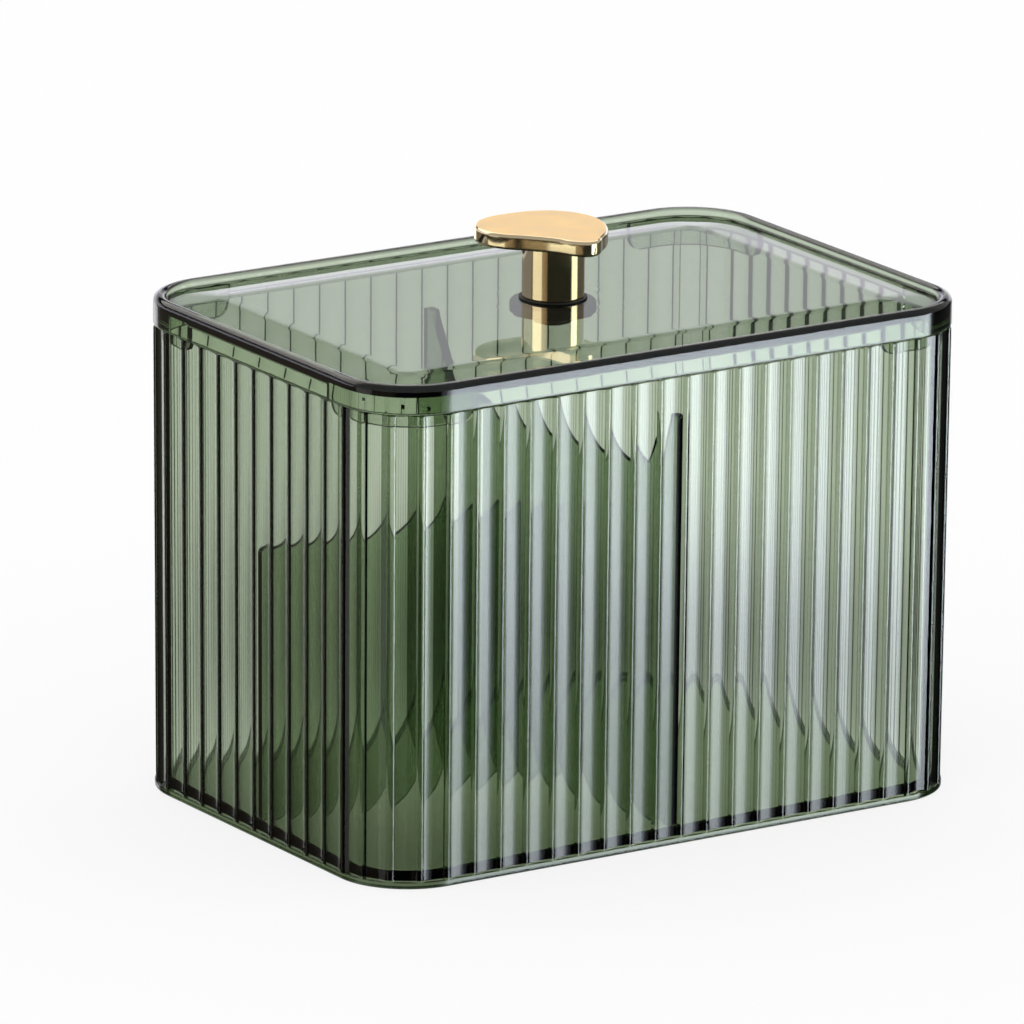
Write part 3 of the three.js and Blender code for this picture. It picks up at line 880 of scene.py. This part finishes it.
studioLook = {
    "ambient": 1.0,  # on matt surfaces, and behind everything
    "through": 0.97, "upwardThrough": 0.2,  # through the plastic: what edges bend up to is the dark of the room
    "ceiling": (0.45, 0.47, 0.48), "tableLight": (0.5, 0.52, 0.53),  # what gloss sees far above and far below
    "insideShare": 0.03,  # light that has bounced inside a wall mostly comes from the dark of the room
    "beyondShare": 0.5, "wallCrossings": 3,  # past this many surfaces a ray is among the pieces behind the wall
    "glossScale": 11,
    # Azimuth from the front (-Y) towards +X in degrees, and the colour that gloss sees there
    "round": [
        (-180, (1.8, 1.8, 1.85)), (-174, (1.7, 1.7, 1.75)), (-169, (0.3, 0.28, 0.25)), (-160, (0.18, 0.16, 0.13)),
        (-114, (0.2, 0.17, 0.13)), (-111, (0.9, 0.9, 0.84)), (-89, (0.9, 0.9, 0.84)), (-86, (0.2, 0.17, 0.13)),
        (-56, (0.2, 0.17, 0.13)), (-50, (0.03, 0.03, 0.03)), (12, (0.03, 0.03, 0.03)), (22, (1.1, 1.2, 1.35)),
        (28, (3.8, 4.2, 4.6)), (33, (8.6, 9.5, 10.4)), (42, (9.4, 10.3, 11.0)), (54, (9.4, 10.3, 11.0)),
        (61, (0.5, 0.55, 0.6)), (67, (0.05, 0.05, 0.05)), (118, (0.06, 0.06, 0.06)), (132, (0.93, 0.93, 0.93)),
        (160, (0.95, 0.95, 0.95)), (172, (1.7, 1.7, 1.75)), (180, (1.8, 1.8, 1.85)),
    ],
    # Spans in degrees above the horizon: where the glow takes over from the round, where both end above and
    # below, where the light from behind sets in, and where the light through the plastic fades
    "highSpan": (1, 5), "ceilingSpan": (35, 44), "tableSpan": (-22, -34), "riseSpan": (-4, 0), "clearSpan": (10, 26),
    "behindSpan": (0.44, 0.5),  # share of a direction that points back
    "skyGlow": 0.5,  # what gloss sees a little above the horizon, apart from behind the box
    # The same round the room, for light that the lid mirrors on to the stem
    "roundHigh": [
        (-180, (0.32, 0.31, 0.3)), (-116, (0.32, 0.31, 0.3)), (-111, (3.6, 3.5, 3.1)), (-78, (3.6, 3.5, 3.1)),
        (-73, (1.2, 1.0, 0.7)), (-58, (0.8, 0.6, 0.4)), (-52, (0.04, 0.04, 0.04)), (36, (0.04, 0.04, 0.04)),
        (43, (5.4, 6.0, 5.4)), (64, (5.4, 6.0, 5.4)), (69, (0.32, 0.31, 0.3)), (180, (0.32, 0.31, 0.3)),
    ],
    # Height above the horizon in degrees, and the colour that gloss sees behind the box: white paper,
    # the dark of the room over it, then a soft lamp
    "rise": [
        (-4, (0.94, 0.94, 0.94)), (0, (1.5, 1.45, 1.65)), (9, (1.5, 1.45, 1.65)), (12.5, (0.8, 0.8, 0.84)),
        (16.6, (0.76, 0.76, 0.82)), (18.6, (0.04, 0.04, 0.04)), (23.5, (0.04, 0.04, 0.04)), (26, (2.0, 1.92, 1.85)),
        (50, (2.0, 1.92, 1.85)), (62, (0.3, 0.31, 0.32)), (90, (0.3, 0.31, 0.32)),
    ],
}


# Floor, and the table as the plastic shows it

stageLook = {
    "floorSize": 12, "floorColor": "#FBFBFB", "selfLit": 0.8,
    # What the plastic lets through of the table: the box's own soft shadow behind it, in mm round its
    # darkest place, and the table under the box, with pairs of a distance from that place and a level
    "tableSize": 1.6, "shadowMiddle": (75, 85, 0), "shadowReach": 175, "shadowDepth": 0.33,
    "underColor": (0.98, 1.08, 0.82), "underFrom": (105, 0.44), "underTo": (185, 0.22), "shadeHeight": 0.08,
    "cardInset": 0.4, "cardLift": 0.02, "tableLevel": -0.1, "veilLevel": -0.2,
    "footShade": 0.04,  # hardly any light gets under the foot rim
    "nearFrom": (15, 0.6), "nearTo": (200, 1.0),  # what mirrored light keeps near the box and further off
    "mirroredShare": 0.1,  # towards the front, where gloss looks, the table lies in the dark of the room
}


def roundCard(name, inside, low, high):  # a thin card in the box's outline, drawn in this far
    s = shellSizes
    card = startBlock(name, (-s["length"] / 2 + inside, -s["depth"] / 2 + inside, low),
                      (s["length"] / 2 - inside, s["depth"] / 2 - inside, high))
    openMesh()
    pick("EDGE", lambda at, e: upright(e))
    roundEdges(s["cornerRadius"] - inside, 8)
    closeMesh()
    return card


def buildStage():
    t = stageLook
    bpy.ops.mesh.primitive_plane_add(size=t["floorSize"], location=(0, 0, 0))
    floor = nameActive("paleFloor")
    material, tree, output = newMaterial("palePaper")
    seen = addNode(tree, "ShaderNodeLightPath").outputs["Is Camera Ray"]
    glow = addNode(tree, "ShaderNodeEmission", {"Color": (1, 1, 1, 1), "Strength": 1})
    paper = addNode(tree, "ShaderNodeBsdfDiffuse", {"Color": srgb(t["floorColor"])})
    share = addNode(tree, "ShaderNodeMath", {0: seen, 1: t["selfLit"]}, operation="MULTIPLY")
    mixed = addNode(tree, "ShaderNodeMixShader", {0: share.outputs[0], 1: paper.outputs[0], 2: glow.outputs[0]})
    tree.links.new(mixed.outputs[0], output.inputs["Surface"])
    dress(floor, material)
    floor.visible_glossy = False
    floor.visible_transmission = False

    shade = roundCard("shadedTable", shellSizes["footWidth"] + t["cardInset"], t["cardLift"], t["shadeHeight"])
    dress(shade, shadedPaper("shadedPaper", t["underFrom"], t["underTo"], t["underColor"]))
    rim = roundCard("footShade", shellSizes["baseRound"], -t["shadeHeight"], -t["cardLift"])
    dress(rim, shadedPaper("contactShade", (0, t["footShade"]), (200, t["footShade"] * 1.5), t["underColor"]))
    bpy.ops.mesh.primitive_plane_add(size=t["tableSize"], location=(0, 0, t["tableLevel"] * mm))
    table = nameActive("tableBehind")
    dress(table, shadedPaper("softShadow", (0, studioLook["through"] * t["shadowDepth"]),
                             (t["shadowReach"], studioLook["through"]), (1, 1, 1)))
    for piece in (shade, rim, table):
        piece.visible_camera = False
        piece.visible_diffuse = False
        piece.visible_glossy = False
        piece.visible_shadow = False


def buildNearShade():
    # A skirt of the box's own shade on the table round its foot, which only mirrored light passes
    t = stageLook
    bpy.ops.mesh.primitive_plane_add(size=t["tableSize"], location=(0, 0, t["veilLevel"] * mm))
    skirt = nameActive("nearShade")
    material, tree, output = newMaterial("nearShade")
    place = addNode(tree, "ShaderNodeTexCoord").outputs["Object"]
    apart = addNode(tree, "ShaderNodeVectorMath", {0: place}, operation="ABSOLUTE")
    past = addNode(tree, "ShaderNodeVectorMath", {
        0: apart.outputs[0], 1: inMm((shellSizes["length"] / 2, shellSizes["depth"] / 2, 0))}, operation="SUBTRACT")
    outside = addNode(tree, "ShaderNodeVectorMath", {0: past.outputs[0], 1: (0, 0, 0)}, operation="MAXIMUM")
    reach = addNode(tree, "ShaderNodeVectorMath", {0: outside.outputs[0]}, operation="LENGTH")
    level = shadeLevel(tree, reach.outputs["Value"], t["nearFrom"], t["nearTo"])
    clear = addNode(tree, "ShaderNodeBsdfTransparent", {"Color": level})
    tree.links.new(clear.outputs[0], output.inputs["Surface"])
    dress(skirt, material)
    skirt.visible_camera = False
    skirt.visible_diffuse = False
    skirt.visible_transmission = False
    skirt.visible_shadow = False


def bouncedShare(tree):
    # Whether a ray was mirrored, and the share that it keeps: all in the open, hardly any within the wall
    # nearest to the eye, half among the pieces behind it. Depths are whole, so a half tells them apart.
    t = studioLook
    path = addNode(tree, "ShaderNodeLightPath")
    mirrored = addNode(tree, "ShaderNodeMath", {0: path.outputs["Glossy Depth"], 1: 0.5}, operation="GREATER_THAN")
    crossed = path.outputs["Transmission Depth"]
    inWall = addNode(tree, "ShaderNodeMath", {0: crossed, 1: 0.5}, operation="GREATER_THAN")
    beyond = addNode(tree, "ShaderNodeMath", {0: crossed, 1: t["wallCrossings"] + 0.5}, operation="GREATER_THAN")
    inWallShare = spread(tree, inWall.outputs[0], (0, 1), (1, t["insideShare"]))
    return mirrored.outputs[0], spread(tree, beyond.outputs[0], (0, 1), (inWallShare, t["beyondShare"]))


def shadeLevel(tree, distance, darkest, lightest):  # each a distance in mm and the level there
    return spread(tree, distance, inMm((darkest[0], lightest[0])), (darkest[1], lightest[1]), smooth=True)


def shadedPaper(name, darkest, lightest, color):  # by the distance from the shadow's middle
    material, tree, output = newMaterial(name)
    place = addNode(tree, "ShaderNodeTexCoord").outputs["Object"]
    middle = inMm(stageLook["shadowMiddle"])
    apart = addNode(tree, "ShaderNodeVectorMath", {0: place, 1: middle}, operation="DISTANCE")
    level = shadeLevel(tree, apart.outputs["Value"], darkest, lightest)
    mirrored, kept = bouncedShare(tree)
    kept = addNode(tree, "ShaderNodeMath", {0: kept, 1: stageLook["mirroredShare"]}, operation="MULTIPLY").outputs[0]
    dimming = spread(tree, mirrored, (0, 1), (1, kept))
    strength = addNode(tree, "ShaderNodeMath", {0: level, 1: dimming}, operation="MULTIPLY")
    glow = addNode(tree, "ShaderNodeEmission", {"Color": (*color, 1), "Strength": strength.outputs[0]})
    tree.links.new(glow.outputs[0], output.inputs["Surface"])
    return material


buildStage()
buildNearShade()
print("stage made")


def lightRamp(tree, angle, colors):  # colours by an angle, each given at its degrees
    scale = studioLook["glossScale"]  # a ramp holds colours up to 1
    low, high = colors[0][0], colors[-1][0]
    share = spread(tree, angle, (turnTo(low), turnTo(high)), (0, 1))
    ramp = addNode(tree, "ShaderNodeValToRGB", {0: share})
    stops = ramp.color_ramp
    while len(stops.elements) < len(colors):
        stops.elements.new(0.5)
    for element, (degrees, color) in zip(stops.elements, colors):
        element.position = (degrees - low) / (high - low)
    for element, (degrees, color) in zip(stops.elements, colors):
        element.color = (*(c / scale for c in color), 1)
    return addNode(tree, "ShaderNodeVectorMath", {0: ramp.outputs["Color"], "Scale": scale},
                   operation="SCALE").outputs[0]


def mixLight(tree, share, first, second):  # from the first to the second, each a link or a plain level
    return addNode(tree, "ShaderNodeMix", {"Factor": share, 4: first, 5: second}, data_type="VECTOR").outputs[1]


def buildWorld():
    t = studioLook
    world = bpy.data.worlds.new("studioRoom")
    bpy.context.scene.world = world
    world.use_nodes = True
    tree = world.node_tree
    tree.nodes.clear()
    direction = addNode(tree, "ShaderNodeTexCoord").outputs["Generated"]
    parts = addNode(tree, "ShaderNodeSeparateXYZ", {0: direction})
    front = addNode(tree, "ShaderNodeMath", {0: parts.outputs["Y"], 1: -1}, operation="MULTIPLY")
    azimuth = addNode(tree, "ShaderNodeMath", {0: parts.outputs["X"], 1: front.outputs[0]}, operation="ARCTAN2")
    around = lightRamp(tree, azimuth.outputs[0], t["round"])
    aroundHigh = lightRamp(tree, azimuth.outputs[0], t["roundHigh"])
    height = addNode(tree, "ShaderNodeMath", {0: parts.outputs["Z"]}, operation="ARCSINE")

    def within(name, smooth=False):
        return spread(tree, height.outputs[0], [turnTo(degrees) for degrees in t[name]], (0, 1), smooth)

    path = addNode(tree, "ShaderNodeLightPath")
    twice = addNode(tree, "ShaderNodeMath", {0: path.outputs["Glossy Depth"], 1: 1.5}, operation="GREATER_THAN")
    overGlow = mixLight(tree, twice.outputs[0], (t["skyGlow"],) * 3, aroundHigh)
    sides = mixLight(tree, within("highSpan"), around, overGlow)
    sides = mixLight(tree, within("ceilingSpan", smooth=True), sides, t["ceiling"])
    sides = mixLight(tree, within("tableSpan", smooth=True), sides, t["tableLight"])
    backward = spread(tree, parts.outputs["Y"], t["behindSpan"], (0, 1))
    upward = within("riseSpan")
    behind = addNode(tree, "ShaderNodeMath", {0: backward, 1: upward}, operation="MULTIPLY")
    room = mixLight(tree, behind.outputs[0], sides, lightRamp(tree, height.outputs[0], t["rise"]))
    mirrored, kept = bouncedShare(tree)
    plainRay = addNode(tree, "ShaderNodeMath", {0: path.outputs["Is Camera Ray"], 1: path.outputs["Is Diffuse Ray"]},
                       operation="MAXIMUM")
    # What the lid mirrors up into the open keeps more
    lidShare = addNode(tree, "ShaderNodeMath", {0: upward, 1: t["beyondShare"]}, operation="MULTIPLY")
    kept = addNode(tree, "ShaderNodeMath", {0: kept, 1: lidShare.outputs[0]}, operation="MAXIMUM").outputs[0]
    dimmed = addNode(tree, "ShaderNodeVectorMath", {0: room, "Scale": kept}, operation="SCALE")
    bentUp = within("clearSpan", smooth=True)
    clear = mixLight(tree, bentUp, (t["through"],) * 3, (t["upwardThrough"],) * 3)
    seen = mixLight(tree, mirrored, clear, dimmed.outputs[0])
    whole = mixLight(tree, plainRay.outputs[0], seen, (t["ambient"],) * 3)
    background = addNode(tree, "ShaderNodeBackground", {"Color": whole, "Strength": 1})
    output = addNode(tree, "ShaderNodeOutputWorld")
    tree.links.new(background.outputs[0], output.inputs["Surface"])


buildWorld()
scene = bpy.context.scene
scene.view_settings.view_transform = "Standard"
scene.cycles.max_bounces = 28
scene.cycles.transmission_bounces = 28
scene.cycles.glossy_bounces = 12
scene.cycles.transparent_max_bounces = 8
print("studio lit")
